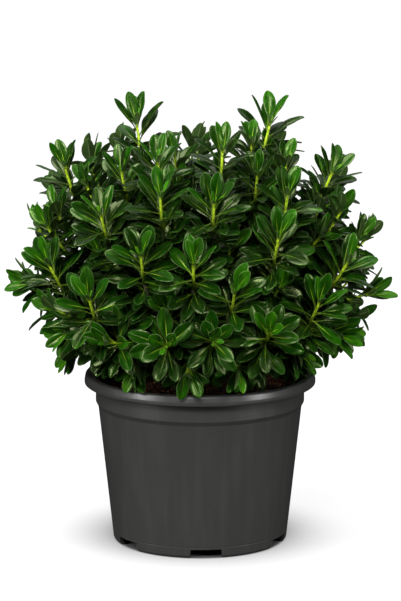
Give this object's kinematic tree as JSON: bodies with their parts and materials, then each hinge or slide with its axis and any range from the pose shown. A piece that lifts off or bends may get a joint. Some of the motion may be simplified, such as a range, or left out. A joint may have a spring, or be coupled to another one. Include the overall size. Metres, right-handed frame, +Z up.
{
  "type": "potted pittosporum",
  "caption": "Bushy dwarf pittosporum with whorls of glossy green leaves, growing in a round black plastic nursery pot with a wide rim.",
  "frame": {"origin": "on the surface that the pot stands on, at the middle of the object's box, which is the pot's axis to within 4 mm", "axes": "+Z up along the pot's axis; the front that the picture shows looks along -Y; +X is to the right in the picture"},
  "size_m": [0.4647, 0.4445, 0.5497],
  "materials": {
    "pot_plastic": "satin",
    "potting_soil": "matte",
    "bark": "matte",
    "leaf": "satin"
  },
  "bodies": {
    "root": {"leafy_fork_01": "leaf", "leafy_fork_02": "leaf", "leafy_fork_03": "leaf", "leafy_fork_04": "leaf", "leafy_fork_05": "leaf", "leafy_fork_06": "leaf", "leafy_fork_07": "leaf", "leafy_fork_08": "leaf", "leafy_fork_09": "leaf", "leafy_fork_10": "leaf", "leafy_fork_11": "leaf", "leafy_fork_12": "leaf", "leafy_fork_13": "leaf", "leafy_fork_14": "leaf", "leafy_fork_15": "leaf", "leafy_fork_16": "leaf", "leafy_fork_17": "leaf", "leafy_fork_18": "leaf", "leafy_fork_19": "leaf", "leafy_fork_20": "leaf", "leafy_fork_21": "leaf", "leafy_fork_22": "leaf", "leafy_fork_23": "leaf", "leafy_fork_24": "leaf", "leafy_fork_25": "leaf", "leafy_fork_26": "leaf", "leafy_fork_27": "leaf", "leafy_fork_28": "leaf", "leafy_fork_29": "leaf", "leafy_fork_30": "leaf", "leafy_fork_31": "leaf", "leafy_shoot_01": "leaf", "leafy_shoot_02": "leaf", "leafy_shoot_03": "leaf", "leafy_shoot_04": "leaf", "leafy_shoot_05": "leaf", "leafy_shoot_06": "leaf", "leafy_shoot_07": "leaf", "leafy_shoot_08": "leaf", "leafy_shoot_09": "leaf", "leafy_shoot_10": "leaf", "leafy_shoot_11": "leaf", "leafy_shoot_12": "leaf", "leafy_shoot_13": "leaf", "leafy_shoot_14": "leaf", "leafy_shoot_15": "leaf", "leafy_shoot_16": "leaf", "leafy_shoot_17": "leaf", "leafy_shoot_18": "leaf", "leafy_shoot_19": "leaf", "leafy_shoot_20": "leaf", "leafy_shoot_21": "leaf", "leafy_shoot_22": "leaf", "leafy_shoot_23": "leaf", "leafy_shoot_24": "leaf", "leafy_shoot_25": "leaf", "pot": "pot_plastic", "soil": "potting_soil", "woody_stems": "bark"}
  },
  "joints": []
}
